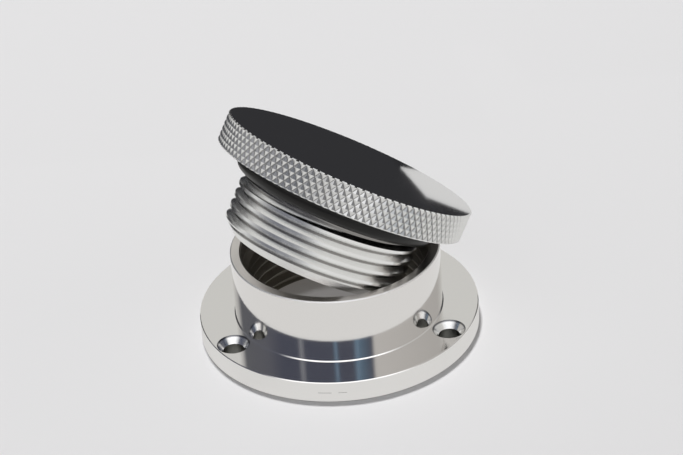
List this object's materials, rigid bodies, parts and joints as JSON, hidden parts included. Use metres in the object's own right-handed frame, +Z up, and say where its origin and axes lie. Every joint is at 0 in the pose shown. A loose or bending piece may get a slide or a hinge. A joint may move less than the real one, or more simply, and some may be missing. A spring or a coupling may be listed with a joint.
{
  "type": "oil filler cap",
  "caption": "Screw-in oil filler cap with a knurled head, rubber ring and threaded plug, taken off and leaning on its round flanged neck.",
  "frame": {"origin": "centre of the flange's lower face, which is the centre of the screw-hole circle at the face that bolts down", "axes": "+Z up along the neck's bore; one screw hole lies on +Y; the cap leans towards +X and +Y"},
  "size_m": [0.0762, 0.0762, 0.0666],
  "materials": {
    "turned_metal": "turned and polished",
    "polished_metal": "mirror polished with a knurled rim",
    "ring_rubber": "smooth moulded rubber"
  },
  "bodies": {
    "root": {"filler_neck": "turned_metal", "filler_cap": "polished_metal", "o_ring": "ring_rubber"}
  },
  "joints": []
}
